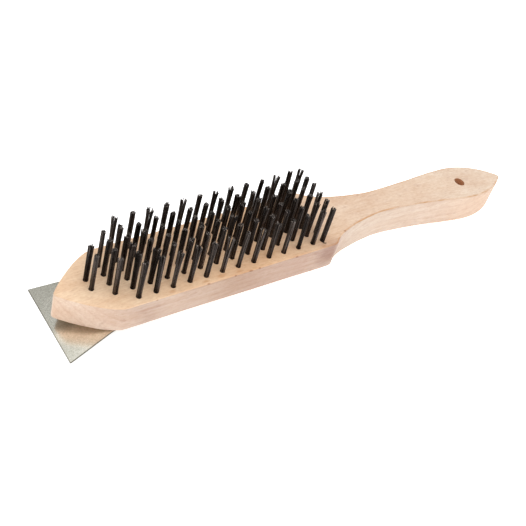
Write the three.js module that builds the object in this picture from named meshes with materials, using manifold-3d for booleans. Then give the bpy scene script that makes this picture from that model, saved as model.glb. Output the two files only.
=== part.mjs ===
// Wire brush with a scraper: a one-piece wooden board with 84 steel wire tufts, and a bent steel plate
// nailed under its nose. Millimetres, +Z up. The brush lies on its back with the bristles up, touching
// the ground at the scraper's edge and at the tip of the drooping handle.
//
// The pieces are laid out in the board's own frame: x from the nose (0) to the tip of the handle,
// y across, z up from the bristle face (0). A group then sets the brush down on z = 0.
import * as THREE from "three";
import { LoftGeometry } from "three/addons/geometries/LoftGeometry.js";
import { mergeVertices } from "three/addons/utils/BufferGeometryUtils.js";
import Module from "manifold-3d";

const wasm = await Module();
wasm.setup();

// ---- Driving dimensions ----

const GAP = 0.3; // between pieces that touch

// Board
const BOARD_LENGTH = 288;
const HEAD_THICKNESS = 15.3; // as far back as FLAT_END_X, over the scraper
const SHOULDER_THICKNESS = 16.2; // at the end of the head
const HANDLE_THICKNESS = 18.2; // from HANDLE_START_X on
const FLAT_END_X = 62;
const HANDLE_START_X = 168;
const EDGE_RADIUS = 0.9;
const EDGE_STEPS = 3; // facets in each rounded edge
const CURVE_STEPS = 12; // stations along each curve of the outline
const NOSE_HALF_WIDTH = 0.9; // the blunt ends of the two points
const TIP_HALF_WIDTH = 0.8;
const HEAD_START_X = 28; // the nose's curve ends here
const HEAD_START_HALF_WIDTH = 19.7;
const HEAD_END_X = 146;
const HEAD_END_HALF_WIDTH = 20.1;
const WAIST_X = 188;
const WAIST_HALF_WIDTH = 8.1;
const GRIP_X = 253; // the handle's widest place
const GRIP_HALF_WIDTH = 12.8;

// Lengths of the handles of the outline's Bezier curves, which set how full each curve is
const NOSE_HANDLE = { x: 1.1, y: 2 };
const HEAD_HANDLE = 9.5;
const SHOULDER_HANDLE = { x: 9.8, y: -8.3 }; // from the head's corner
const SHOULDER_ROUNDING = 2.4; // how far from that corner its rounding starts, along the board
const NECK_HANDLE = 8.3; // from the waist towards the head
const WAIST_HANDLE = 25; // from the waist towards the grip
const GRIP_HANDLE = 14.6;

// The handle bows away from the bristles, more steeply towards its tip.
const DROOP_START_X = 152;
const DROOP_AT_TIP = 10.2;
const DROOP_POWER = 2.2;

// Hanging hole
const HOLE_X = 253;
const HOLE_RADIUS = 3.25;

// Tufts: 15 columns along the head and 6 rows, a to f, across it. The nose has room for fewer rows.
const TUFT_PITCH = 9.06;
const ROW_PITCH = 5.95;
const FIRST_COLUMN_X = 16.7;
const LAST_COLUMN_STEP = 6.1; // the last column stands closer to the one before it
const COLUMNS = 15;
const ROWS = "abcdef";
const TUFT_RADIUS = 1.3;
const TUFT_HEIGHT = 22.4; // above the bristle face, to the longest wires
const SOCKET_DEPTH = 11;
const ANCHOR_WIDTH = 1.6;
const ANCHOR_HEIGHT = 1.2;

// Scraper: a trapezoid of sheet steel, flat on the board's back and bent away from it at the front
const SCRAPER_THICKNESS = 0.8;
const SCRAPER_FRONT_X = -1;
const SCRAPER_REAR_X = 60;
const SCRAPER_BEND_X = 22.8;
const SCRAPER_BEND = THREE.MathUtils.degToRad(14.1);
const SCRAPER_BEND_RADIUS = 8; // inside the bend
const SCRAPER_BEND_STEPS = 4;
const SCRAPER_FRONT_HALF_WIDTH = 23.5;
const SCRAPER_REAR_HALF_WIDTH = 9.4;

// Nails that hold the scraper
const NAIL_PLACES = [
  [30.3, -7.5],
  [30.3, 7.5],
  [48.4, 0],
];
const NAIL_RADIUS = 1;
const NAIL_LENGTH = 10;
const NAIL_POINT = 2;
const NAIL_HEAD_RADIUS = 2.8;
const NAIL_HEAD_HEIGHT = 1.3;

// Facets round the tufts, the nails and the hanging hole
const TUFT_SIDES = 8;
const NAIL_SIDES = 12;
const NAIL_DOME_STEPS = 4;
const HOLE_SIDES = 24;
const THROUGH = 2; // how far a cutter stands proud of what it cuts

// ---- Materials ----

const finish = (color, roughness, metalness) =>
  new THREE.MeshStandardMaterial({ color, roughness, metalness });
const wood = finish(0xdfbf98, 0.7, 0);
const wire = finish(0x2c2b2d, 0.4, 0.9);
const sheetSteel = finish(0xa5a69b, 0.4, 0.9);
const nailSteel = finish(0x8d8d88, 0.35, 0.9);

// ---- Solids ----

// A closed geometry as a manifold-3d solid.
function solid(geometry) {
  const bare = new THREE.BufferGeometry();
  bare.setAttribute("position", geometry.getAttribute("position"));
  bare.setIndex(geometry.index);
  const merged = mergeVertices(bare, 1e-4);
  return new wasm.Manifold(
    new wasm.Mesh({
      numProp: 3,
      vertProperties: merged.attributes.position.array,
      triVerts: new Uint32Array(merged.index.array),
    }),
  );
}

function mesh(name, shape, material) {
  const { vertProperties, triVerts } = shape.getMesh();
  const geometry = new THREE.BufferGeometry();
  geometry.setAttribute("position", new THREE.BufferAttribute(vertProperties, 3));
  geometry.setIndex(new THREE.BufferAttribute(triVerts, 1));
  geometry.computeVertexNormals();
  const made = new THREE.Mesh(geometry, material);
  made.name = name;
  return made;
}

// An upright cylinder or prism from one height to another.
function upright(x, y, low, high, radius, sides) {
  const geometry = new THREE.CylinderGeometry(radius, radius, high - low, sides);
  geometry.rotateX(Math.PI / 2);
  geometry.translate(x, y, (low + high) / 2);
  return solid(geometry);
}

// A box along y, from one height to another.
function bar(x, fromY, toY, low, high, width) {
  const geometry = new THREE.BoxGeometry(width, toY - fromY, high - low);
  geometry.translate(x, (fromY + toY) / 2, (low + high) / 2);
  return solid(geometry);
}

// ---- Board ----

// 0 before one place along the board, 1 past another, and even in between.
function share(x, from, to) {
  return THREE.MathUtils.clamp((x - from) / (to - from), 0, 1);
}

function droop(x) {
  return DROOP_AT_TIP * share(x, DROOP_START_X, BOARD_LENGTH) ** DROOP_POWER;
}

// The board thickens slowly along the head, from where its back stops being flat, and faster at the neck.
function thickness(x) {
  const head = (SHOULDER_THICKNESS - HEAD_THICKNESS) * share(x, FLAT_END_X, HEAD_END_X);
  const neck = (HANDLE_THICKNESS - SHOULDER_THICKNESS) * share(x, HEAD_END_X, HANDLE_START_X);
  return HEAD_THICKNESS + head + neck;
}

// Half the head's width along its straight part.
function headHalfWidth(x) {
  const along = share(x, HEAD_START_X, HEAD_END_X);
  return THREE.MathUtils.lerp(HEAD_START_HALF_WIDTH, HEAD_END_HALF_WIDTH, along);
}

// One long edge of the board in plan: nose, straight head, shoulder and waist, grip, pointed end.
function boardEdge() {
  const edge = new THREE.Path();
  edge.moveTo(0, NOSE_HALF_WIDTH);
  edge.bezierCurveTo(
    NOSE_HANDLE.x, NOSE_HALF_WIDTH + NOSE_HANDLE.y,
    HEAD_START_X - HEAD_HANDLE, HEAD_START_HALF_WIDTH,
    HEAD_START_X, HEAD_START_HALF_WIDTH,
  );
  edge.lineTo(FLAT_END_X, headHalfWidth(FLAT_END_X));
  const roundingStart = HEAD_END_X - SHOULDER_ROUNDING;
  const roundingDrop = (SHOULDER_ROUNDING * SHOULDER_HANDLE.y) / SHOULDER_HANDLE.x;
  edge.lineTo(roundingStart, headHalfWidth(roundingStart));
  edge.quadraticCurveTo(
    HEAD_END_X, HEAD_END_HALF_WIDTH,
    HEAD_END_X + SHOULDER_ROUNDING, HEAD_END_HALF_WIDTH + roundingDrop,
  );
  edge.bezierCurveTo(
    HEAD_END_X + SHOULDER_HANDLE.x, HEAD_END_HALF_WIDTH + SHOULDER_HANDLE.y,
    WAIST_X - NECK_HANDLE, WAIST_HALF_WIDTH,
    WAIST_X, WAIST_HALF_WIDTH,
  );
  edge.bezierCurveTo(
    WAIST_X + WAIST_HANDLE, WAIST_HALF_WIDTH,
    GRIP_X - GRIP_HANDLE, GRIP_HALF_WIDTH,
    GRIP_X, GRIP_HALF_WIDTH,
  );
  // The pointed end is an arc that leaves the grip tangentially and meets the tip.
  const run = BOARD_LENGTH - GRIP_X;
  const rise = GRIP_HALF_WIDTH - TIP_HALF_WIDTH;
  const radius = (run * run + rise * rise) / (2 * rise);
  const endAngle = Math.PI / 2 - Math.asin(run / radius);
  edge.absarc(GRIP_X, GRIP_HALF_WIDTH - radius, radius, Math.PI / 2, endAngle, true);
  return edge.getPoints(CURVE_STEPS);
}

// The board's cross-section at one place: a rectangle with rounded corners.
function boardSection({ x, y: halfWidth }) {
  const radius = Math.min(EDGE_RADIUS, 0.9 * halfWidth);
  const top = -droop(x);
  const bottom = top - thickness(x);
  const corners = [
    [halfWidth - radius, top - radius],
    [radius - halfWidth, top - radius],
    [radius - halfWidth, bottom + radius],
    [halfWidth - radius, bottom + radius],
  ];
  return corners.flatMap(([y, z], quarter) =>
    Array.from({ length: EDGE_STEPS + 1 }, (_, step) => {
      const angle = ((quarter + step / EDGE_STEPS) * Math.PI) / 2;
      return new THREE.Vector3(x, y + radius * Math.cos(angle), z + radius * Math.sin(angle));
    }),
  );
}

function board(sockets) {
  const sections = boardEdge().map(boardSection);
  const blank = solid(new LoftGeometry(sections, { capStart: true, capEnd: true }));
  const below = -HANDLE_THICKNESS - DROOP_AT_TIP - THROUGH;
  const hole = upright(HOLE_X, 0, below, THROUGH, HOLE_RADIUS, HOLE_SIDES);
  const cutters = [hole, ...sockets, ...NAIL_PLACES.map(nailHole)];
  const drilled = cutters.reduce((rest, cutter) => rest.subtract(cutter), blank);
  return mesh("board", drilled, wood);
}

// ---- Tufts ----

function columnX(column) {
  const x = FIRST_COLUMN_X + column * TUFT_PITCH;
  return column < COLUMNS - 1 ? x : x - TUFT_PITCH + LAST_COLUMN_STEP;
}

function rowY(row) {
  return (row - (ROWS.length - 1) / 2) * ROW_PITCH;
}

// The pairs of neighbouring rows in a column: one in the nose's first column, two in the next, then three.
function rowPairs(column) {
  if (column === 0) return [[2, 3]];
  if (column === 1) return [[1, 2], [3, 4]];
  return [[0, 1], [2, 3], [4, 5]];
}

// Two tufts joined by the anchor at the bottom of their sockets, or, grown by the gap, the two sockets.
function tuftPair(x, rows, top, grow) {
  const [lowY, highY] = rows.map(rowY);
  const bottom = -SOCKET_DEPTH - grow;
  const tuft = (y) => upright(x, y, bottom, top, TUFT_RADIUS + grow, TUFT_SIDES);
  const anchorTop = -SOCKET_DEPTH + ANCHOR_HEIGHT + grow;
  const anchor = bar(x, lowY, highY, bottom, anchorTop, ANCHOR_WIDTH + 2 * grow);
  return tuft(lowY).add(tuft(highY)).add(anchor);
}

// ---- Scraper and its nails ----

// The middle of the sheet in side view, from the rear to the front edge, with its slope at each point.
function scraperLine() {
  const height = -HEAD_THICKNESS - GAP - SCRAPER_THICKNESS / 2;
  const radius = SCRAPER_BEND_RADIUS + SCRAPER_THICKNESS / 2;
  const line = [{ x: SCRAPER_REAR_X, z: height, slope: 0 }];
  for (let step = 0; step <= SCRAPER_BEND_STEPS; step++) {
    const slope = (SCRAPER_BEND * step) / SCRAPER_BEND_STEPS;
    const x = SCRAPER_BEND_X - radius * Math.sin(slope);
    const z = height - radius * (1 - Math.cos(slope));
    line.push({ x, z, slope });
  }
  const bent = line.at(-1);
  const fall = (bent.x - SCRAPER_FRONT_X) * Math.tan(SCRAPER_BEND);
  line.push({ x: SCRAPER_FRONT_X, z: bent.z - fall, slope: SCRAPER_BEND });
  return line;
}

function scraper() {
  // The side view has its y along the brush's z. Extruded along y, it is a bent strip.
  const side = (by) =>
    scraperLine().map(
      ({ x, z, slope }) => new THREE.Vector2(x - by * Math.sin(slope), z + by * Math.cos(slope)),
    );
  const half = SCRAPER_THICKNESS / 2;
  const profile = new THREE.Shape([...side(half), ...side(-half).reverse()]);
  const width = 2 * (SCRAPER_FRONT_HALF_WIDTH + THROUGH);
  const strip = new THREE.ExtrudeGeometry(profile, { depth: width, bevelEnabled: false });
  strip.rotateX(Math.PI / 2);
  strip.translate(0, width / 2, 0);

  // The plan narrows towards the rear.
  const corners = [
    [SCRAPER_FRONT_X - THROUGH, -SCRAPER_FRONT_HALF_WIDTH],
    [SCRAPER_FRONT_X, -SCRAPER_FRONT_HALF_WIDTH],
    [SCRAPER_REAR_X, -SCRAPER_REAR_HALF_WIDTH],
    [SCRAPER_REAR_X, SCRAPER_REAR_HALF_WIDTH],
    [SCRAPER_FRONT_X, SCRAPER_FRONT_HALF_WIDTH],
    [SCRAPER_FRONT_X - THROUGH, SCRAPER_FRONT_HALF_WIDTH],
  ];
  const outline = new THREE.Shape(corners.map(([x, y]) => new THREE.Vector2(x, y)));
  const plan = new THREE.ExtrudeGeometry(outline, { depth: HEAD_THICKNESS, bevelEnabled: false });
  plan.translate(0, 0, -2 * HEAD_THICKNESS);

  const cut = solid(strip).intersect(solid(plan));
  const punched = NAIL_PLACES.map(nailHole).reduce((rest, hole) => rest.subtract(hole), cut);
  return mesh("scraper", punched, sheetSteel);
}

// The outer face of the scraper's flat part is this far below the bristle face, with the nail's gap.
const NAIL_SEAT = -HEAD_THICKNESS - SCRAPER_THICKNESS - 2 * GAP;

function nailHole([x, y]) {
  return upright(x, y, NAIL_SEAT, NAIL_SEAT + NAIL_LENGTH + GAP, NAIL_RADIUS + GAP, NAIL_SIDES);
}

// A nail driven upwards through the scraper: a domed head, a shank and a point.
function nail(name, [x, y]) {
  const dome = new THREE.EllipseCurve(0, 0, NAIL_HEAD_RADIUS, NAIL_HEAD_HEIGHT, -Math.PI / 2, 0);
  const profile = [
    ...dome.getPoints(NAIL_DOME_STEPS),
    new THREE.Vector2(NAIL_RADIUS, 0),
    new THREE.Vector2(NAIL_RADIUS, NAIL_LENGTH - NAIL_POINT),
    new THREE.Vector2(0, NAIL_LENGTH),
  ];
  profile[0].x = 0; // exactly on the axis
  const geometry = new THREE.LatheGeometry(profile, NAIL_SIDES);
  geometry.rotateX(Math.PI / 2);
  geometry.translate(x, y, NAIL_SEAT);
  return mesh(name, solid(geometry), nailSteel);
}

// ---- Assembly ----

const brush = new THREE.Group();
const sockets = [];
for (let column = 0; column < COLUMNS; column++) {
  for (const rows of rowPairs(column)) {
    const x = columnX(column);
    const letters = rows.map((row) => ROWS[row]).join("");
    const name = `tufts_${String(column + 1).padStart(2, "0")}_${letters}`;
    brush.add(mesh(name, tuftPair(x, rows, TUFT_HEIGHT, 0), wire));
    sockets.push(tuftPair(x, rows, THROUGH, GAP));
  }
}
brush.add(board(sockets));
brush.add(scraper());
NAIL_PLACES.forEach((place, index) => brush.add(nail(`scraper_nail_${index + 1}`, place)));

// Lay the brush down: it turns about y until the scraper's edge and the tip of the handle are level.
const scraperBox = new THREE.Box3().setFromObject(brush.getObjectByName("scraper"));
const boardBox = new THREE.Box3().setFromObject(brush.getObjectByName("board"));
const fall = boardBox.min.z - scraperBox.min.z;
brush.rotation.y = Math.atan2(fall, boardBox.max.x - scraperBox.min.x);

// The origin is under the middle of the brush's box, on the ground.
const brushBox = new THREE.Box3().setFromObject(brush, true);
const centre = brushBox.getCenter(new THREE.Vector3());
brush.position.set(-centre.x, -centre.y, -brushBox.min.z);

const part = new THREE.Group();
part.add(brush);
export default part;
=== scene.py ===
"""Looks of the wire brush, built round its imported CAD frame.

Every piece is modelled in the board's own frame, in millimetres: x from the nose (0) to the tip of the
handle, y across, z up from the bristle face (0). REST turns that frame into the row frame in metres.
"""

import math
import random

import bpy
import numpy as np
from mathutils import Matrix, Vector, noise


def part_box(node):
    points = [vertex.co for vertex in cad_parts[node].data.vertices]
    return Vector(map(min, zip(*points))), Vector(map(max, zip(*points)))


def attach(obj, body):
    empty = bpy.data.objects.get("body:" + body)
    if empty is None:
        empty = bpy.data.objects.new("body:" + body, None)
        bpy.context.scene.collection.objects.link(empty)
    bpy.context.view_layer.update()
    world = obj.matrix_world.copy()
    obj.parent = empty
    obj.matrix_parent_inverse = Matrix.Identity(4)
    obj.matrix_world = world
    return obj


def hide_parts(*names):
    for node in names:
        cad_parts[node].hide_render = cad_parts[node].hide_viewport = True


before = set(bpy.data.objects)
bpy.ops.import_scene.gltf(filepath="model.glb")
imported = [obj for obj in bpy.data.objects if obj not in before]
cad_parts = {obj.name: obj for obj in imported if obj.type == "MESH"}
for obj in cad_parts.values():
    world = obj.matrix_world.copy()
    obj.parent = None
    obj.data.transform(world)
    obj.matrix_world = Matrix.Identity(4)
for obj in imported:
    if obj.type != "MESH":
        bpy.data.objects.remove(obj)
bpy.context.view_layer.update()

MM = 0.001
TILT = math.radians(-1.247368)  # the brush leans on the scraper's edge and the tip of its handle
ORIGIN = Vector((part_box("board")[0].x, 0.0, 0.0221238))
REST = Matrix.Translation(ORIGIN) @ Matrix.Rotation(TILT, 4, "Y") @ Matrix.Scale(MM, 4)

# ---- The board's sizes, as in the CAD ----

LENGTH = 288.0
HEAD_THICKNESS, SHOULDER_THICKNESS, HANDLE_THICKNESS = 15.3, 16.2, 18.2
FLAT_END, HEAD_END, HANDLE_START = 62.0, 146.0, 168.0  # where the thickness starts or stops changing
HEAD_START, WAIST, GRIP = 28.0, 188.0, 253.0
NOSE_HALF, TIP_HALF = 0.9, 0.8  # half widths: of the blunt ends, then of the four places along the edge
HEAD_START_HALF, HEAD_END_HALF, WAIST_HALF, GRIP_HALF = 19.7, 20.1, 8.1, 12.8
NOSE_HANDLE_X, NOSE_HANDLE_Y = 1.1, 2.0  # the handles of the outline's Bezier curves
SHOULDER_HANDLE_X, SHOULDER_HANDLE_Y = 9.8, -8.3
HEAD_HANDLE, NECK_HANDLE, WAIST_HANDLE, GRIP_HANDLE = 9.5, 8.3, 25.0, 14.6
SHOULDER_ROUNDING = 2.4
DROOP_START, DROOP_AT_TIP, DROOP_POWER = 152.0, 10.2, 2.2
HOLE_X, HOLE_RADIUS = 253.0, 3.25

# ---- What differs from the CAD's board ----

EDGE_RADIUS = 0.8  # the sanded edges' mean radius
SHOULDER_SHIFT = 1.6  # how much further along the board the shoulder's corner stands
TIP_CAP = 0.45  # how far the rounded end stands beyond the outline's last curve

# ---- The tufts' grid, as in the CAD ----

TUFT_PITCH, ROW_PITCH = 9.06, 5.95
FIRST_COLUMN_X, LAST_COLUMN_STEP = 16.7, 6.1
COLUMNS, ROWS = 15, 6
TUFT_HEIGHT = 22.4  # to the longest wires


def droop(x):
    """How far the board's faces have bowed down at x."""
    return DROOP_AT_TIP * np.maximum(0.0, (x - DROOP_START) / (LENGTH - DROOP_START)) ** DROOP_POWER


def thickness(x):
    """The board thickens slowly along the head and faster along the neck."""
    head_share = np.clip((x - FLAT_END) / (HEAD_END - FLAT_END), 0.0, 1.0)
    neck_share = np.clip((x - HEAD_END) / (HANDLE_START - HEAD_END), 0.0, 1.0)
    head = (SHOULDER_THICKNESS - HEAD_THICKNESS) * head_share
    neck = (HANDLE_THICKNESS - SHOULDER_THICKNESS) * neck_share
    return HEAD_THICKNESS + head + neck


def bezier(p0, p1, p2, p3, steps):
    """Points along a cubic curve, without its first one."""
    t = np.linspace(0.0, 1.0, steps + 1)[1:, None]
    p0, p1, p2, p3 = (np.array(p, float) for p in (p0, p1, p2, p3))
    return (
        (1 - t) ** 3 * p0
        + 3 * (1 - t) ** 2 * t * p1
        + 3 * (1 - t) * t**2 * p2
        + t**3 * p3
    )


def board_edge():
    """(x, half width) along one edge of the board, from the nose's ridge to the tip's, both rounded."""
    nose_slope = math.atan2(NOSE_HANDLE_Y, NOSE_HANDLE_X)
    nose_radius = NOSE_HALF / math.cos(nose_slope)
    nose_centre = nose_radius * math.sin(nose_slope)
    turn = np.linspace(0.0, math.pi / 2 - nose_slope, 7)[:, None]
    parts = [np.hstack([nose_centre - nose_radius * np.cos(turn), nose_radius * np.sin(turn)])]
    start = np.array((HEAD_START, HEAD_START_HALF))
    nose_handle = (NOSE_HANDLE_X, NOSE_HALF + NOSE_HANDLE_Y)
    parts.append(bezier((0, NOSE_HALF), nose_handle, start - (HEAD_HANDLE, 0.0), start, 40))

    # The shoulder is a corner, rounded from and to places at the same distance from it along the board.
    corner = np.array((HEAD_END + SHOULDER_SHIFT, HEAD_END_HALF))
    to_neck = np.array((HEAD_END + SHOULDER_HANDLE_X, HEAD_END_HALF + SHOULDER_HANDLE_Y))
    before = corner - SHOULDER_ROUNDING / (HEAD_END - HEAD_START) * (corner - start)
    after = corner + SHOULDER_ROUNDING / SHOULDER_HANDLE_X * (to_neck - corner)
    line = np.linspace(0.0, 1.0, 81)[1:, None]
    parts.append(start * (1 - line) + before * line)
    parts.append(bezier(before, (before + 2 * corner) / 3, (after + 2 * corner) / 3, after, 14))

    waist, grip = np.array((WAIST, WAIST_HALF)), np.array((GRIP, GRIP_HALF))
    parts.append(bezier(after, to_neck, waist - (NECK_HANDLE, 0.0), waist, 48))
    parts.append(bezier(waist, waist + (WAIST_HANDLE, 0.0), grip - (GRIP_HANDLE, 0.0), grip, 48))

    # The pointed end is an arc that leaves the grip tangentially, with a small round cap.
    run, rise = LENGTH - TIP_CAP - GRIP, GRIP_HALF - TIP_HALF
    radius = (run * run + rise * rise) / (2 * rise)
    end = math.asin(run / radius)
    sweep = np.linspace(0.0, end, 33)[1:, None]
    parts.append(np.hstack([GRIP + radius * np.sin(sweep), GRIP_HALF - radius * (1 - np.cos(sweep))]))
    tip_radius = TIP_HALF / math.cos(end)
    tip_centre = LENGTH - TIP_CAP - tip_radius * math.sin(end)
    turn = np.linspace(end, math.pi / 2, 7)[1:, None]
    parts.append(np.hstack([tip_centre + tip_radius * np.sin(turn), tip_radius * np.cos(turn)]))
    return np.vstack(parts)


def subdivided(line, step):
    """The line's points with more put between them, so that none are further apart than about a step."""
    out = []
    for a, b in zip(line[:-1], line[1:]):
        count = max(1, int(np.hypot(*(b - a)) / step))
        out.append(a + (b - a) * np.linspace(0, 1, count, endpoint=False)[:, None])
    return np.vstack(out + [line[-1:]])


EDGE = board_edge()
FINE_EDGE = subdivided(EDGE, 0.4)


def edge_distance(x, y):
    """How far points are from the board's outline, in plan."""
    points = np.stack([x, np.abs(y)], -1).reshape(-1, 2)
    out = np.empty(len(points))
    batch = 4000  # few enough for the table of distances to stay small
    for start in range(0, len(points), batch):
        block = points[start : start + batch, None, :] - FINE_EDGE[None, :, :]
        out[start : start + batch] = np.sqrt((block**2).sum(-1).min(1))
    return out.reshape(np.shape(x))


def rounding(distance, radius=EDGE_RADIUS):
    """How far a rounded edge has fallen at that distance from the outline."""
    inside = np.clip(radius - distance, 0.0, radius)
    return radius - np.sqrt(np.maximum(0.0, radius**2 - inside**2))


# ---- Objects ----


def new_object(name, verts, faces, materials, smooth=True, sharp=None, slots=None):
    data = bpy.data.meshes.new(name)
    data.from_pydata(np.array(verts, float).tolist(), [], faces)
    for material in materials:
        data.materials.append(material)
    if slots is not None:
        data.polygons.foreach_set("material_index", slots)
    data.update()
    if smooth:
        data.shade_smooth()
    if sharp is not None:
        data.set_sharp_from_angle(angle=math.radians(sharp))
    obj = bpy.data.objects.new(name, data)
    bpy.context.scene.collection.objects.link(obj)
    return obj


def settle(obj, slot, *nodes):
    """Lays a piece made in the board's frame down in the row frame, in place of its CAD nodes."""
    obj.data.transform(REST)
    obj.data.update()
    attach(obj, "root")
    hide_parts(*nodes)


def cut(obj, cutter):
    """Takes the cutter out of the object and removes the cutter."""
    modifier = obj.modifiers.new("cut", "BOOLEAN")
    modifier.operation = "DIFFERENCE"
    modifier.solver = "EXACT"
    modifier.material_mode = "TRANSFER"
    modifier.object = cutter
    bpy.context.view_layer.update()
    graph = bpy.context.evaluated_depsgraph_get()
    result = bpy.data.meshes.new_from_object(obj.evaluated_get(graph))
    obj.modifiers.clear()
    old = obj.data
    obj.data = result
    bpy.data.meshes.remove(old)
    bpy.data.objects.remove(cutter)


# ---- Node helpers ----


class Nodes:
    """A material being wired: add() makes a node, link() joins two sockets."""

    def __init__(self, name):
        self.material = bpy.data.materials.new(name)
        self.material.use_nodes = True
        self.tree = self.material.node_tree
        self.shader = self.tree.nodes["Principled BSDF"]

    def add(self, kind, **values):
        node = self.tree.nodes.new(kind)
        inputs = values.pop("inputs", {})
        for key, value in values.items():
            setattr(node, key, value)
        for key, value in inputs.items():
            if isinstance(value, bpy.types.NodeSocket):
                self.tree.links.new(value, node.inputs[key])
            else:
                node.inputs[key].default_value = value
        return node

    def link(self, source, target):
        self.tree.links.new(source, target)

    def math(self, operation, *values, clamp=False):
        node = self.tree.nodes.new("ShaderNodeMath")
        node.operation = operation
        node.use_clamp = clamp
        for index, value in enumerate(values):
            if isinstance(value, bpy.types.NodeSocket):
                self.tree.links.new(value, node.inputs[index])
            else:
                node.inputs[index].default_value = value
        return node.outputs[0]

    def scaled(self, coordinates, scale):
        """Coordinates in millimetres, multiplied by the cycles per millimetre along each axis."""
        node = self.add("ShaderNodeMapping", inputs={"Vector": coordinates})
        node.inputs["Scale"].default_value = scale
        return node.outputs["Vector"]

    def noise(self, coordinates, scale=1.0, detail=2.0, roughness=0.5, distortion=0.0):
        node = self.add(
            "ShaderNodeTexNoise",
            inputs={
                "Vector": coordinates,
                "Scale": scale,
                "Detail": detail,
                "Roughness": roughness,
                "Distortion": distortion,
            },
        )
        return node.outputs["Fac"]

    def bump(self, height, strength, distance, under=None, invert=False):
        """A bumped normal, over another one if there is one; distance is in metres."""
        node = self.add("ShaderNodeBump", invert=invert)
        node.inputs["Strength"].default_value = strength
        node.inputs["Distance"].default_value = distance
        self.link(height, node.inputs["Height"])
        if under is not None:
            self.link(under, node.inputs["Normal"])
        return node.outputs["Normal"]

    def ramp(self, value, stops):
        """stops are (position, colour or grey level)."""
        node = self.add("ShaderNodeValToRGB", inputs={"Fac": value})
        elements = node.color_ramp.elements
        while len(elements) < len(stops):
            elements.new(0.5)
        for element, (position, colour) in zip(elements, stops):
            element.position = position
            if isinstance(colour, (int, float)):
                colour = (colour, colour, colour)
            element.color = (*colour, 1.0)
        return node.outputs["Color"]

    def mix(self, kind, factor, a, b):
        node = self.add("ShaderNodeMix", data_type="RGBA", blend_type=kind)
        for socket, value in ((node.inputs[0], factor), (node.inputs[6], a), (node.inputs[7], b)):
            if isinstance(value, bpy.types.NodeSocket):
                self.tree.links.new(value, socket)
            elif isinstance(value, (int, float)):
                socket.default_value = value
            else:
                socket.default_value = (*value, 1.0)
        return node.outputs[2]


def srgb(r, g, b):
    """A linear colour from 8-bit sRGB values."""
    return tuple(
        (v / 255 / 12.92) if v <= 10.31475 else ((v / 255 + 0.055) / 1.055) ** 2.4 for v in (r, g, b)
    )


# ---- Materials ----

# Wood colours along the board, as (share of 300 mm, colour)
FACE_COLOURS = [
    (0.10, srgb(245, 219, 189)),
    (0.42, srgb(242, 207, 170)),
    (0.60, srgb(227, 205, 184)),
    (0.90, srgb(231, 215, 198)),
]
SIDE_COLOURS = [
    (0.03, srgb(227, 201, 177)),
    (0.10, srgb(235, 216, 200)),
    (0.17, srgb(200, 179, 165)),
    (0.22, srgb(208, 188, 173)),
    (0.33, srgb(192, 168, 151)),
    (0.47, srgb(195, 170, 156)),
    (0.60, srgb(216, 202, 188)),
    (0.80, srgb(223, 206, 191)),
    (0.95, srgb(225, 200, 178)),
]


def board_coordinates(n):
    """Shader coordinates in the board's own frame, in millimetres."""
    place = n.add("ShaderNodeTexCoord").outputs["Object"]
    turned = Matrix.Rotation(-TILT, 3, "Y") @ (ORIGIN / MM)
    node = n.add("ShaderNodeMapping", inputs={"Vector": place})
    node.inputs["Scale"].default_value = (1 / MM, 1 / MM, 1 / MM)
    node.inputs["Rotation"].default_value = (0.0, -TILT, 0.0)
    node.inputs["Location"].default_value = -turned
    return node.outputs["Vector"]


# Small marks of wear on the near top edge: (x, y, length along x), in the board's frame
EDGE_MARKS = (
    (42.0, -20.0, 1.2),
    (69.8, -19.7, 1.6),
    (84.9, -19.8, 1.1),
    (93.8, -19.7, 2.0),
    (98.9, -19.8, 1.3),
    (121.4, -20.0, 1.5),
    (156.6, -13.3, 1.6),
)
# Softer tan stains on the face beside that edge: (x, y, half length, half width)
FACE_STAINS = (
    (50.9, -17.6, 3.2, 1.5),
    (69.0, -17.9, 3.0, 1.4),
    (78.2, -17.6, 4.2, 1.9),
    (88.3, -18.1, 4.0, 1.6),
    (139.0, -18.6, 3.0, 1.2),
)
SMUDGE = (144.0, -20.0, -5.5)  # on the near side of the shoulder


def spot(n, place, centre, scale):
    """1 at the centre, 0 outside an ellipsoid with those half axes in mm."""
    inverse = tuple(1.0 / v for v in scale)
    offset = tuple(-c * i for c, i in zip(centre, inverse))
    node = n.add("ShaderNodeMapping", inputs={"Vector": place})
    node.inputs["Scale"].default_value = inverse
    node.inputs["Location"].default_value = offset
    away = n.add("ShaderNodeVectorMath", operation="LENGTH", inputs={0: node.outputs["Vector"]})
    return n.math("SUBTRACT", 1.0, away.outputs["Value"], clamp=True)


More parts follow.
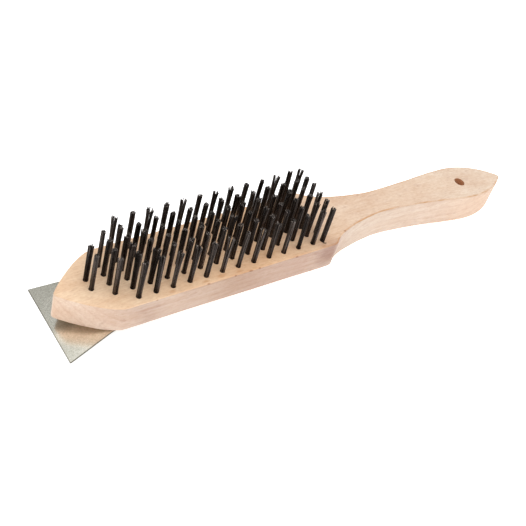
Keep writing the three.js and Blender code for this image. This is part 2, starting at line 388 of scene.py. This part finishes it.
def wood_material(name, inside=None):
    """The board's wood; inside is a colour that darkens the walls of a drilled hole, partly for their
    end grain and partly as painted shade of the recess.
    """
    n = Nodes(name)
    place = board_coordinates(n)
    axes = n.add("ShaderNodeSeparateXYZ", inputs={"Vector": place}).outputs
    normal = n.add("ShaderNodeTexCoord").outputs["Normal"]
    facing = n.add("ShaderNodeSeparateXYZ", inputs={"Vector": normal}).outputs

    # Grain runs along x. Growth rings are arcs round a far centre, seen as lines along the faces.
    drift = n.noise(n.scaled(place, (0.012, 0.03, 0.03)), 1.0, 2.0, 0.5)
    rise = n.math("SUBTRACT", axes["Z"], 25.0)
    across = n.math("ADD", axes["Y"], 40.0)
    away = n.math("SQRT", n.math("ADD", n.math("POWER", rise, 2.0), n.math("POWER", across, 2.0)))
    ring = n.math("ADD", away, n.math("MULTIPLY", drift, 14.0))
    ring = n.math("FRACT", n.math("DIVIDE", ring, 3.1))
    rings = n.ramp(ring, [(0.0, 0.62), (0.12, 1.0), (0.7, 0.93), (1.0, 0.62)])
    broad = n.noise(n.scaled(place, (0.010, 0.12, 0.12)), 1.0, 3.0, 0.55, 0.4)
    fine = n.noise(n.scaled(place, (0.05, 1.5, 1.5)), 1.0, 4.0, 0.6, 0.2)
    pores = n.noise(n.scaled(place, (0.30, 3.2, 3.2)), 1.0, 2.0, 0.5)
    pore_mask = n.ramp(pores, [(0.60, 0.0), (0.70, 1.0)])
    blotch = n.noise(n.scaled(place, (0.035, 0.07, 0.07)), 1.0, 3.0, 0.6)
    mottle = n.noise(n.scaled(place, (0.16, 0.34, 0.34)), 1.0, 3.0, 0.6)
    flecks = n.noise(n.scaled(place, (0.45, 1.0, 1.0)), 1.0, 3.0, 0.65)

    # The head is warm tan and its sides pinkish; the handle is paler all round.
    along = n.math("MULTIPLY_ADD", drift, 30.0, axes["X"])
    along = n.math("DIVIDE", along, 300.0)
    face = n.ramp(along, FACE_COLOURS)
    side = n.ramp(along, SIDE_COLOURS)
    topness = n.ramp(facing["Z"], [(0.45, 0.0), (0.85, 1.0)])
    topness_value = n.math("MULTIPLY", topness, 1.0)
    colour = n.mix("MIX", topness, side, face)
    ring_share = n.math("MULTIPLY_ADD", topness_value, -0.27, 0.42)
    colour = n.mix("MULTIPLY", ring_share, colour, n.mix("MIX", rings, srgb(206, 160, 138), (1, 1, 1)))
    colour = n.mix("MULTIPLY", 0.5, colour, n.ramp(broad, [(0.3, srgb(244, 232, 222)), (0.6, 1.0)]))
    colour = n.mix("MULTIPLY", 0.7, colour, n.ramp(fine, [(0.3, srgb(242, 234, 225)), (0.65, 1.0)]))
    fleck_share = n.math("MULTIPLY_ADD", topness_value, 0.3, 0.45)
    fleck_tint = n.ramp(flecks, [(0.35, srgb(242, 235, 228)), (0.62, 1.0)])
    colour = n.mix("MULTIPLY", fleck_share, colour, fleck_tint)
    colour = n.mix("MULTIPLY", n.math("MULTIPLY", pore_mask, 0.2), colour, srgb(170, 125, 92))
    colour = n.mix("MULTIPLY", 0.6, colour, n.ramp(blotch, [(0.3, srgb(238, 228, 222)), (0.6, 1.0)]))
    colour = n.mix("MULTIPLY", 0.6, colour, n.ramp(mottle, [(0.3, srgb(240, 230, 222)), (0.6, 1.0)]))

    # A thin darker line where the top face meets the sides, broken up along the grain.
    depth = n.add("ShaderNodeAttribute", attribute_name="crease").outputs["Fac"]
    depth = n.math("MULTIPLY_ADD", depth, 0.25, 0.5)
    line = n.ramp(depth, [(0.42, 0.0), (0.54, 1.0), (0.66, 0.8), (0.85, 0.0)])
    breaks = n.ramp(n.noise(n.scaled(place, (0.05, 0.4, 0.4)), 1.0, 3.0, 0.6), [(0.4, 0.25), (0.6, 1.0)])
    line = n.math("MULTIPLY", line, breaks)
    strength = n.ramp(along, [(0.0, 0.15), (0.45, 0.2), (0.56, 0.9), (1.0, 0.9)])
    colour = n.mix("MULTIPLY", n.math("MULTIPLY", line, strength), colour, srgb(226, 190, 150))

    # Marks on the near edge and a grey smudge on the shoulder.
    wobble = n.math("SUBTRACT", mottle, 0.5)
    marks = None
    for x, y, length in EDGE_MARKS:
        mark = spot(n, place, (x, y, -0.2), (length, 0.9, 0.8))
        marks = mark if marks is None else n.math("MAXIMUM", marks, mark)
    marks = n.ramp(n.math("ADD", marks, n.math("MULTIPLY", wobble, 0.7)), [(0.25, 0.0), (0.6, 1.0)])
    colour = n.mix("MULTIPLY", n.math("MULTIPLY", marks, 0.6), colour, srgb(176, 128, 96))
    stains = None
    for x, y, half_length, half_width in FACE_STAINS:
        stain = spot(n, place, (x, y, -0.2), (half_length, half_width, 1.5))
        stains = stain if stains is None else n.math("MAXIMUM", stains, stain)
    stains = n.ramp(n.math("ADD", stains, n.math("MULTIPLY", wobble, 1.4)), [(0.15, 0.0), (0.75, 1.0)])
    colour = n.mix("MULTIPLY", n.math("MULTIPLY", stains, 0.5), colour, srgb(214, 174, 138))
    smudge = n.math("ADD", spot(n, place, SMUDGE, (13.0, 9.0, 11.0)), n.math("MULTIPLY", wobble, 1.1))
    smudge = n.ramp(smudge, [(0.05, 0.0), (0.75, 1.0)])
    colour = n.mix("MULTIPLY", n.math("MULTIPLY", smudge, 0.8), colour, srgb(196, 172, 166))

    if inside is not None:
        # Painted shade: the walls of a drilled hole are darkened, partly for their end grain, partly
        # standing in for the shade inside the recess.
        colour = n.mix("MULTIPLY", 1.0, colour, inside)
    n.link(colour, n.shader.inputs["Base Color"])
    n.link(n.ramp(fine, [(0.3, 0.62), (0.7, 0.52)]), n.shader.inputs["Roughness"])
    n.shader.inputs["Specular IOR Level"].default_value = 0.3

    normal = n.bump(fine, 0.2, 0.0001)
    normal = n.bump(mottle, 0.25, 0.0006, under=normal)
    normal = n.bump(pore_mask, 0.3, 0.0001, under=normal, invert=True)
    n.link(normal, n.shader.inputs["Normal"])
    return n.material


def wire_material(name, base, roughness):
    """Steel whose tone varies from wire to wire and along each wire."""
    n = Nodes(name)
    place = board_coordinates(n)
    tone = n.add("ShaderNodeAttribute", attribute_name="tone").outputs["Fac"]
    scale = n.noise(n.scaled(place, (1.5, 1.5, 0.35)), 1.0, 2.0)
    lift = n.math("ADD", n.math("MULTIPLY", tone, 0.7), n.math("MULTIPLY", scale, 0.6))
    dark = tuple(0.15 * c for c in base)
    light = tuple(min(1.0, 3.0 * c) for c in base)
    n.link(n.ramp(lift, [(0.2, dark), (0.6, base), (1.0, light)]), n.shader.inputs["Base Color"])
    n.shader.inputs["Metallic"].default_value = 0.9
    rough = n.ramp(scale, [(0.3, roughness - 0.08), (0.7, roughness + 0.12)])
    n.link(rough, n.shader.inputs["Roughness"])
    return n.material


def sheet_material():
    """The faces of the scraper's rolled sheet."""
    n = Nodes("sheet_steel")
    place = board_coordinates(n)
    rolled = n.noise(n.scaled(place, (0.5, 6.0, 6.0)), 1.0, 3.0, 0.6)
    cloudy = n.noise(n.scaled(place, (0.09, 0.09, 0.09)), 1.0, 4.0, 0.6)
    speckle = n.noise(n.scaled(place, (1.1, 1.1, 1.1)), 1.0, 3.0, 0.65)
    edge = n.add("ShaderNodeAttribute", attribute_name="edge").outputs["Fac"]
    colour = n.ramp(cloudy, [(0.3, srgb(185, 184, 173)), (0.7, srgb(200, 198, 188))])
    # Beside the nose's near side the sheet is tinted brighter and warm: a painted reflection of the
    # board's lit wooden side.
    beside = n.add("ShaderNodeAttribute", attribute_name="beside").outputs["Fac"]
    colour = n.mix("MIX", beside, colour, srgb(246, 236, 218))
    colour = n.mix("MULTIPLY", 1.0, colour, n.ramp(speckle, [(0.33, srgb(232, 232, 228)), (0.62, 1.0)]))
    # The rim is darker: rust and dirt sit along the sheared edge.
    dirt = n.math("MULTIPLY_ADD", speckle, 0.8, -0.4)
    dirt = n.ramp(n.math("ADD", edge, dirt), [(0.25, 0.0), (0.75, 1.0)])
    colour = n.mix("MULTIPLY", n.math("MULTIPLY", dirt, 0.85), colour, srgb(140, 134, 116))
    n.link(colour, n.shader.inputs["Base Color"])
    n.shader.inputs["Metallic"].default_value = 0.9
    n.link(n.ramp(rolled, [(0.3, 0.18), (0.7, 0.23)]), n.shader.inputs["Roughness"])
    n.link(n.bump(rolled, 0.035, 0.00005), n.shader.inputs["Normal"])
    return n.material


def rim_material():
    """The sheared edge of the scraper's sheet: darker and rougher than its faces."""
    n = Nodes("sheared_edge")
    place = board_coordinates(n)
    shear = n.noise(n.scaled(place, (3.0, 3.0, 0.6)), 1.0, 3.0, 0.6)
    colour = n.ramp(shear, [(0.3, srgb(78, 74, 62)), (0.7, srgb(112, 108, 94))])
    n.link(colour, n.shader.inputs["Base Color"])
    n.shader.inputs["Metallic"].default_value = 0.3
    n.link(n.ramp(shear, [(0.3, 0.6), (0.7, 0.45)]), n.shader.inputs["Roughness"])
    n.link(n.bump(shear, 0.4, 0.0001), n.shader.inputs["Normal"])
    return n.material


def nail_material():
    """Dulled bright steel with small dents."""
    n = Nodes("nail_steel")
    place = board_coordinates(n)
    marks = n.noise(n.scaled(place, (1.2, 1.2, 1.2)), 1.0, 4.0, 0.6)
    colour = n.ramp(marks, [(0.3, srgb(120, 118, 112)), (0.7, srgb(176, 174, 168))])
    n.link(colour, n.shader.inputs["Base Color"])
    n.shader.inputs["Metallic"].default_value = 0.95
    n.link(n.ramp(marks, [(0.3, 0.4), (0.7, 0.28)]), n.shader.inputs["Roughness"])
    n.link(n.bump(marks, 0.3, 0.0001), n.shader.inputs["Normal"])
    return n.material


WOOD = wood_material("wood")
# The hang hole's walls: the end grain's darker colour plus painted shade of the hole.
HOLE_END_GRAIN_AND_PAINTED_SHADE = wood_material("hole_end_grain_and_painted_shade", srgb(255, 222, 190))
# The tuft sockets' walls: the end grain's darker colour plus painted shade round the tufts' feet.
SOCKET_END_GRAIN_AND_PAINTED_SHADE = wood_material("socket_end_grain_and_painted_shade", srgb(150, 108, 84))
WIRE = wire_material("wire", srgb(56, 50, 47), 0.32)
CUT_END = wire_material("wire_cut_end", srgb(96, 90, 86), 0.45)
SHEET = sheet_material()
RIM = rim_material()
NAIL = nail_material()

# ---- Board ----

CORNER_STEPS = 6
FACE_STEPS = 26
SIDE_STEPS = 10
SOCKET_RADIUS = 1.35


def edge_radius(x):
    """The sanded edge is rounder in some places than in others."""
    wander = noise.noise(Vector((0.045 * x, 3.7, 0.0))) + 0.4 * noise.noise(Vector((0.21 * x, 8.1, 0.0)))
    return EDGE_RADIUS * (1.0 + 0.45 * wander)


def board_section(x, half):
    """One ring of the board, as (y, z under the bristle face's own level)."""
    zone = min(2.2 * EDGE_RADIUS, half)
    falls = 1.0 - np.cos(np.linspace(0.0, math.pi / 2, CORNER_STEPS + 1))
    outer = half - zone * falls
    inner = np.linspace(half - zone, zone - half, FACE_STEPS + 1)[1:-1]
    across = np.concatenate([outer, inner, -outer[::-1]])
    radius = edge_radius(x)
    thick = float(thickness(x))
    depth = rounding(edge_distance(np.full(len(across), x), across), radius)
    side = np.linspace(radius, thick - radius, SIDE_STEPS + 1)[1:-1]
    ring = list(zip(across, -depth))
    ring += [(-half, -z) for z in side]
    ring += list(zip(across[::-1], depth[::-1] - thick))
    ring += [(half, -z) for z in side[::-1]]
    return ring


def tuft_places():
    """(column, rows) of each CAD node of tufts."""
    for column in range(COLUMNS):
        if column == 0:
            pairs = [(2, 3)]
        elif column == 1:
            pairs = [(1, 2), (3, 4)]
        else:
            pairs = [(0, 1), (2, 3), (4, 5)]
        for pair in pairs:
            yield column, pair


def column_x(column):
    x = FIRST_COLUMN_X + column * TUFT_PITCH
    return x if column < COLUMNS - 1 else x - TUFT_PITCH + LAST_COLUMN_STEP


def row_y(row):
    return (row - (ROWS - 1) / 2) * ROW_PITCH


def ring_cylinder(x, y, low, high, radius, sides, draw, rough=0.05):
    """Verts and faces of an upright closed cylinder whose radius wobbles by that share."""
    verts, faces = [], []
    wobble = [1.0 + draw.uniform(-rough, rough) for _ in range(sides)]
    for z in (low, high):
        for k in range(sides):
            angle = 2 * math.pi * k / sides
            reach = radius * wobble[k]
            verts.append((x + reach * math.cos(angle), y + reach * math.sin(angle), z))
    faces.append(tuple(range(sides - 1, -1, -1)))
    faces.append(tuple(range(sides, 2 * sides)))
    for k in range(sides):
        after = (k + 1) % sides
        faces.append((k, after, sides + after, sides + k))
    return verts, faces


def make_board():
    stations = EDGE[1:-1]
    verts, rings = [], []
    for x, half in stations:
        ring = board_section(x, half)
        top = -float(droop(x))
        rings.append(range(len(verts), len(verts) + len(ring)))
        verts += [(x, y, top + z) for y, z in ring]
    faces = []
    size = len(rings[0])
    for near, far in zip(rings[:-1], rings[1:]):
        for k in range(size):
            after = (k + 1) % size
            faces.append((near[k], near[after], far[after], far[k]))
    faces.append(tuple(reversed(rings[0])))
    faces.append(tuple(rings[-1]))
    board = new_object("board_wood", verts, faces, [WOOD], smooth=False)

    draw = random.Random(11)
    verts, faces = [], []
    for column, pair in tuft_places():
        for row in pair:
            some_verts, some_faces = ring_cylinder(
                column_x(column), row_y(row), -3.0, 1.0, SOCKET_RADIUS, 18, draw
            )
            faces += [tuple(i + len(verts) for i in face) for face in some_faces]
            verts += some_verts
    # The sockets' walls take the darker wood: end grain plus painted shade round the tufts' feet.
    cut(board, new_object("cutter", verts, faces, [SOCKET_END_GRAIN_AND_PAINTED_SHADE], smooth=False))
    # The hang hole's walls take the darker wood: end grain plus painted shade.
    hole_top = -float(droop(HOLE_X))
    verts, faces = ring_cylinder(
        HOLE_X, 0, hole_top - HANDLE_THICKNESS - 3, hole_top + 3, HOLE_RADIUS - 0.1, 48, draw, 0.02
    )
    cut(board, new_object("cutter", verts, faces, [HOLE_END_GRAIN_AND_PAINTED_SHADE], smooth=False))
    data = board.data
    data.shade_smooth()
    data.set_sharp_from_angle(angle=math.radians(35))
    # How far each point of the top is inside the outline, or how far (negative) down the side it is.
    points = np.empty(3 * len(data.vertices))
    data.vertices.foreach_get("co", points)
    x, y, z = points.reshape(-1, 3).T
    below = -droop(x) - z
    crease = np.minimum(edge_distance(x, y), 2.0) - np.clip(below, 0.0, 4.0)
    data.attributes.new("crease", "FLOAT", "POINT").data.foreach_set("value", crease)
    return board


settle(make_board(), "wood", "board")

# ---- Tufts ----

WIRE_RADIUS = 0.2
WIRE_SIDES = 7
WIRE_STATIONS = (0.0, 0.2, 0.45, 0.7, 0.86, 0.95, 1.0)
PACKED = 0.475  # between the middles of neighbouring wires in a tuft


def packing():
    """Middles of the wires of a tuft: a hexagonal cluster of 22."""
    spots = []
    for i in range(-3, 4):
        for j in range(-3, 4):
            spots.append((i + 0.5 * j, j * math.sqrt(3) / 2))
    spots.sort(key=lambda p: (p[0] - 0.2) ** 2 + (p[1] - 0.15) ** 2)
    chosen = spots[:22]
    mean_x = sum(p[0] for p in chosen) / 22
    mean_y = sum(p[1] for p in chosen) / 22
    return [((p[0] - mean_x) * PACKED, (p[1] - mean_y) * PACKED) for p in chosen]


CLUSTER = packing()


def add_wire(store, path, radius, tone):
    """Adds a round wire along a path of points, closed at both ends."""
    verts, faces, slots, tones = store
    first = len(verts)
    path = np.array(path)
    for index, point in enumerate(path):
        ahead = path[min(index + 1, len(path) - 1)] - path[max(index - 1, 0)]
        ahead /= np.linalg.norm(ahead)
        side = np.cross(ahead, (0.0, 1.0, 0.0) if abs(ahead[1]) < 0.9 else (1.0, 0.0, 0.0))
        side /= np.linalg.norm(side)
        other = np.cross(ahead, side)
        for k in range(WIRE_SIDES):
            angle = 2 * math.pi * k / WIRE_SIDES
            verts.append(point + radius * (math.cos(angle) * side + math.sin(angle) * other))
            tones.append(tone)
    count = len(path)
    for index in range(count - 1):
        for k in range(WIRE_SIDES):
            after = (k + 1) % WIRE_SIDES
            low, high = first + index * WIRE_SIDES, first + (index + 1) * WIRE_SIDES
            faces.append((low + k, low + after, high + after, high + k))
            slots.append(0)
    faces.append(tuple(first + k for k in reversed(range(WIRE_SIDES))))
    slots.append(0)
    faces.append(tuple(first + (count - 1) * WIRE_SIDES + k for k in range(WIRE_SIDES)))
    slots.append(1)


def add_tuft(store, x, y, draw):
    lean = Vector((0.3 + draw.gauss(0, 0.18), 0.7 + draw.gauss(0, 0.2)))
    turn = draw.uniform(0, 2 * math.pi)
    split = draw.uniform(0, 2 * math.pi)
    split_by = draw.uniform(0.25, 0.6) if draw.random() < 0.5 else 0.0
    height = TUFT_HEIGHT - 0.45 + draw.gauss(0, 0.22)
    for px, py in CLUSTER:
        bx = px * math.cos(turn) - py * math.sin(turn)
        by = px * math.sin(turn) + py * math.cos(turn)
        jitter = Vector((draw.gauss(0, 0.06), draw.gauss(0, 0.06)))
        spread = 1.0 + draw.uniform(0.0, 0.1)
        if draw.random() < 0.03:
            jitter *= 7.0
        side = 1.0 if bx * math.cos(split) + by * math.sin(split) > 0 else -1.0
        top = min(height + draw.gauss(0, 0.28), TUFT_HEIGHT - 0.05)
        bow = Vector((draw.gauss(0, 0.04), draw.gauss(0, 0.04)))
        fray = Vector((draw.gauss(0, 0.15), draw.gauss(0, 0.15)))
        path = []
        for t in WIRE_STATIONS:
            z = -2.6 + (top + 2.6) * t
            rise = max(0.0, z / TUFT_HEIGHT)
            ease = rise**2
            mid = 4 * t * (1 - t)
            apart = side * split_by * rise**3
            loose = rise**9
            sway = lean * rise + jitter * ease + bow * mid + fray * loose
            grown = 1.0 + (spread - 1.0) * ease
            at_x = x + bx * grown + sway.x + apart * math.cos(split)
            at_y = y + by * grown + sway.y + apart * math.sin(split)
            path.append((at_x, at_y, z))
        add_wire(store, path, WIRE_RADIUS, draw.random())


# A loose end that has curled out at the foot of the last tuft of the near row
STRAY_WIRE = (
    (139.7, -13.9, 0.2),
    (139.6, -15.2, 0.25),
    (139.8, -16.3, 0.3),
    (140.3, -17.3, 0.45),
    (141.0, -17.8, 0.75),
)


def make_tufts():
    draw = random.Random(84)
    for column, pair in tuft_places():
        letters = "".join("abcdef"[row] for row in pair)
        store = ([], [], [], [])
        for row in pair:
            add_tuft(store, column_x(column), row_y(row), draw)
        if column == COLUMNS - 1 and 0 in pair:
            add_wire(store, STRAY_WIRE, WIRE_RADIUS, 0.4)
        verts, faces, slots, tones = store
        name = f"wires_{column + 1:02d}_{letters}"
        tuft = new_object(name, verts, faces, [WIRE, CUT_END], sharp=50, slots=slots)
        tuft.data.attributes.new("tone", "FLOAT", "POINT").data.foreach_set("value", tones)
        settle(tuft, "wire", f"tufts_{column + 1:02d}_{letters}")


make_tufts()

# ---- Scraper and nails ----

SHEET_THICKNESS = 0.8
SHEET_BEVEL = 0.14
RIM_WIDTH = 0.55  # the darker band along the sheet's edges
SHEET_CORNER = 0.45  # rounding of the corners in plan
FRONT_X, REAR_X, BEND_X = -1.0, 60.0, 22.8
FRONT_HALF_WIDTH, REAR_HALF_WIDTH = 23.5, 9.4
BEND, BEND_RADIUS = math.radians(14.1), 8.0
SHEET_COLUMNS = 24  # points across each face of the sheet
PAINTED_REFLECTION_NEAR, PAINTED_REFLECTION_FAR = 2.5, 9.0  # from the board's near side, where the sheet's painted warm reflection of the wood fades
GAP = 0.3


def sheet_line():
    """(x, z, slope) of the middle of the sheet from its rear to its front edge."""
    height = -HEAD_THICKNESS - GAP - SHEET_THICKNESS / 2
    radius = BEND_RADIUS + SHEET_THICKNESS / 2
    inset = SHEET_CORNER * (1 - np.sin(np.linspace(0.0, math.pi / 2, 6)))
    line = [(REAR_X - step, height, 0.0) for step in inset[::-1]]
    line += [(x, height, 0.0) for x in np.linspace(REAR_X - 1.0, BEND_X + 1.0, 12)]
    for slope in np.linspace(0.0, BEND, 11):
        line.append((BEND_X - radius * math.sin(slope), height - radius * (1 - math.cos(slope)), slope))
    bent_x, bent_z, _ = line[-1]
    for x in list(np.linspace(bent_x, FRONT_X + RIM_WIDTH, 18)[1:]) + [FRONT_X + i for i in inset]:
        line.append((x, bent_z - (bent_x - x) * math.tan(BEND), BEND))
    return line


def sheet_half_width(x):
    """Half the sheet's width in plan, with rounded corners at both ends."""
    share = (x - FRONT_X) / (REAR_X - FRONT_X)
    half = FRONT_HALF_WIDTH + (REAR_HALF_WIDTH - FRONT_HALF_WIDTH) * share
    to_end = min(x - FRONT_X, REAR_X - x)
    if to_end < SHEET_CORNER:
        half -= SHEET_CORNER - math.sqrt(max(0.0, SHEET_CORNER**2 - (SHEET_CORNER - to_end) ** 2))
    return half


def make_scraper():
    verts, faces, slots, rings, edges = [], [], [], [], []
    line = sheet_line()

    def ring(x, z, slope, half, thick):
        lean = np.array([-math.sin(slope), 0.0, math.cos(slope)])
        inner_half, inner_thick = half - SHEET_BEVEL, thick - SHEET_BEVEL
        profile = [(-inner_half, thick)]
        profile += [(y, thick) for y in np.linspace(RIM_WIDTH - half, half - RIM_WIDTH, SHEET_COLUMNS)]
        profile += [(inner_half, thick), (half, inner_thick), (half, -inner_thick), (inner_half, -thick)]
        profile += [(-inner_half, -thick), (-half, -inner_thick), (-half, inner_thick)]
        start = len(verts)
        verts.extend(np.array([x, y, z]) + up * lean for y, up in profile)
        to_end = min(x - FRONT_X, REAR_X - x)
        edges.extend(max(0.0, 1.0 - min(half - abs(y), to_end) / RIM_WIDTH) for y, _ in profile)
        rings.append(range(start, len(verts)))

    half_thick = SHEET_THICKNESS / 2
    x, z, slope = line[0]
    ring(x, z, slope, sheet_half_width(x) - SHEET_BEVEL, half_thick - SHEET_BEVEL * 0.5)
    for x, z, slope in line[1:-1]:
        ring(x, z, slope, sheet_half_width(x), half_thick)
    x, z, slope = line[-1]
    ring(x, z, slope, sheet_half_width(x) - SHEET_BEVEL, half_thick - SHEET_BEVEL * 0.5)
    size = len(rings[0])
    for station, (near, far) in enumerate(zip(rings[:-1], rings[1:])):
        for k in range(size):
            after = (k + 1) % size
            faces.append((near[k], near[after], far[after], far[k]))
            ends = station in (0, len(rings) - 2)
            faces_up = k <= SHEET_COLUMNS
            faces_down = k == SHEET_COLUMNS + 4
            slots.append(0 if (faces_up or faces_down) and not ends else 1)
    faces += [tuple(reversed(rings[0])), tuple(rings[-1])]
    slots += [1, 1]
    plate = new_object("scraper_plate", verts, faces, [SHEET, RIM], sharp=25, slots=slots)
    plate.data.attributes.new("edge", "FLOAT", "POINT").data.foreach_set("value", edges)
    # Painted reflection: near the board's near side the sheet gets a brighter, warm tint that stands in
    # for the wood's reflection in the steel.
    x, y, _ = np.array(verts).T
    under = np.abs(y) < np.interp(x, EDGE[:, 0], EDGE[:, 1], left=0.0)
    away = np.where(under, 0.0, edge_distance(x, y))
    beside = np.clip((PAINTED_REFLECTION_FAR - away) / (PAINTED_REFLECTION_FAR - PAINTED_REFLECTION_NEAR), 0.0, 1.0)
    beside *= np.clip((-y - 4.0) / 4.0, 0.0, 1.0)
    plate.data.attributes.new("beside", "FLOAT", "POINT").data.foreach_set("value", beside)
    return plate


def make_nail(name, x, y):
    """A domed head with a narrow rim, on a drawn shank with a point."""
    seat = -HEAD_THICKNESS - SHEET_THICKNESS - 2 * GAP
    dome = np.linspace(0.06, math.pi / 2, 12)
    profile = [(2.8 * math.sin(a), -0.22 - 1.08 * math.cos(a)) for a in dome]  # (radius, height)
    profile += [(2.8, -0.12), (2.72, -0.02), (2.6, 0.0)]
    profile += [(1.15, 0.0), (1.0, 0.2), (1.0, 8.0), (0.62, 9.0), (0.1, 9.95)]
    sides = 40
    verts, faces = [], []
    for radius, height in profile:
        for k in range(sides):
            angle = 2 * math.pi * k / sides
            at_x, at_y = x + radius * math.cos(angle), y + radius * math.sin(angle)
            dent = 0.05 * noise.noise(Vector((at_x, at_y, 0.4)))
            lift = max(0.0, dent) if height < -0.3 else 0.0
            verts.append((at_x, at_y, seat + height + lift))
    for row in range(len(profile) - 1):
        for k in range(sides):
            after = (k + 1) % sides
            low, high = row * sides, (row + 1) * sides
            faces.append((low + k, low + after, high + after, high + k))
    faces.append(tuple(reversed(range(sides))))
    faces.append(tuple(range((len(profile) - 1) * sides, len(profile) * sides)))
    return new_object(name, verts, faces, [NAIL], sharp=40)


settle(make_scraper(), "sheet_steel", "scraper")
for number, (x, y) in enumerate(((30.3, -7.5), (30.3, 7.5), (48.4, 0.0)), 1):
    settle(make_nail(f"nail_{number}", x, y), "nail_steel", f"scraper_nail_{number}")

# ---- Stage ----


def stage_floor():
    size = 3.0
    data = bpy.data.meshes.new("floor")
    corners = [(-size, -size, 0), (size, -size, 0), (size, size, 0), (-size, size, 0)]
    data.from_pydata(corners, [], [(0, 1, 2, 3)])
    n = Nodes("floor")
    n.shader.inputs["Base Color"].default_value = (0.93, 0.93, 0.93, 1)
    n.shader.inputs["Roughness"].default_value = 0.9
    n.shader.inputs["Specular IOR Level"].default_value = 0.1
    n.shader.inputs["Emission Color"].default_value = (1, 1, 1, 1)
    n.shader.inputs["Emission Strength"].default_value = 0.65
    data.materials.append(n.material)
    floor = bpy.data.objects.new("floor", data)
    bpy.context.scene.collection.objects.link(floor)


def area_light(name, place, aim, size, power, colour=(1, 1, 1)):
    data = bpy.data.lights.new(name, "AREA")
    data.shape = "SQUARE"
    data.size = size
    data.energy = power
    data.color = colour
    light = bpy.data.objects.new(name, data)
    light.location = place
    light.rotation_euler = (Vector(place) - Vector(aim)).to_track_quat("Z", "Y").to_euler()
    bpy.context.scene.collection.objects.link(light)


stage_floor()
area_light("overhead", (0, -0.19, 1.0), (0, -0.19, 0), 1.6, 12.0)

world = bpy.data.worlds.new("studio")
bpy.context.scene.world = world
world.use_nodes = True
world.node_tree.nodes["Background"].inputs["Color"].default_value = (1.0, 1.0, 1.0, 1)
world.node_tree.nodes["Background"].inputs["Strength"].default_value = 0.6
bpy.context.scene.view_settings.view_transform = "Standard"

# ---- Camera ----

CAMERA_AT = Vector((-149.55, -262.86, 344.43))  # in the board's frame
CAMERA_RIGHT = Vector((0.8207, -0.5248, 0.2258))
CAMERA_DOWN = Vector((-0.2547, -0.6899, -0.6776))
FOCAL_IN_FRAMES = 1007.0 / 526.0  # focal length over the frame's width
SENSOR = 36.0

right = CAMERA_RIGHT.normalized()
back = right.cross(-CAMERA_DOWN).normalized()
up = back.cross(right)
camera_data = bpy.data.cameras.new("camera")
camera_data.sensor_width = SENSOR
camera_data.lens = SENSOR * FOCAL_IN_FRAMES
camera_data.clip_start = 0.01
camera = bpy.data.objects.new("camera", camera_data)
turned = Matrix((right, up, back)).transposed()
camera.matrix_world = Matrix.Translation(REST @ CAMERA_AT) @ (
    Matrix.Rotation(TILT, 3, "Y") @ turned
).to_4x4()
bpy.context.scene.collection.objects.link(camera)
bpy.context.scene.camera = camera
